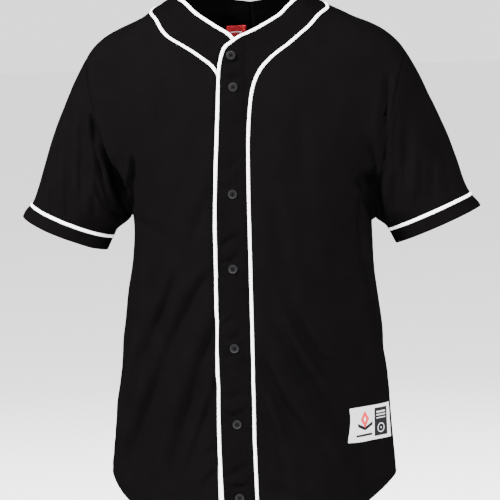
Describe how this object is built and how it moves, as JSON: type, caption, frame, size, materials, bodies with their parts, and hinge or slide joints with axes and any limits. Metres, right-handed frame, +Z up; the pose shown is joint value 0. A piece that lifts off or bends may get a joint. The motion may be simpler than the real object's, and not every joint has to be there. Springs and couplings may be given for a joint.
{
  "type": "baseball jersey",
  "caption": "Short-sleeved button-front jersey with a collarless V neck, contrast braid on placket, neck and cuffs, and a rounded shirt-tail hem, worn shape",
  "frame": {"origin": "inside the base of the neck, level with the neck seam on top of the shoulders, where the wearer's shoulders hold the garment", "axes": "+Z up, the front faces -Y, the wearer's left is towards +X"},
  "size_m": [0.7153, 0.2572, 0.8451],
  "materials": {
    "cloth": "black close-knit polyester with a soft sheen",
    "band": "the same black knit, doubled and stitched down",
    "braid": "white flat knitted braid",
    "button": "black moulded resin with four holes",
    "label": "light grey woven label with plain marks",
    "neck_label": "plain red woven label"
  },
  "bodies": {
    "root": {"back": "cloth", "front_left": "cloth", "front_right": "cloth", "sleeve_left": "cloth", "sleeve_right": "cloth", "band_left": "band", "band_right": "band", "braid_edge_left": "braid", "braid_edge_right": "braid", "braid_seam_left": "braid", "braid_seam_right": "braid", "braid_sleeve_left": "braid", "braid_sleeve_right": "braid", "button_1": "button", "button_2": "button", "button_3": "button", "button_4": "button", "button_5": "button", "button_6": "button", "button_7": "button", "hem_label": "label", "neck_label": "neck_label"}
  },
  "joints": []
}
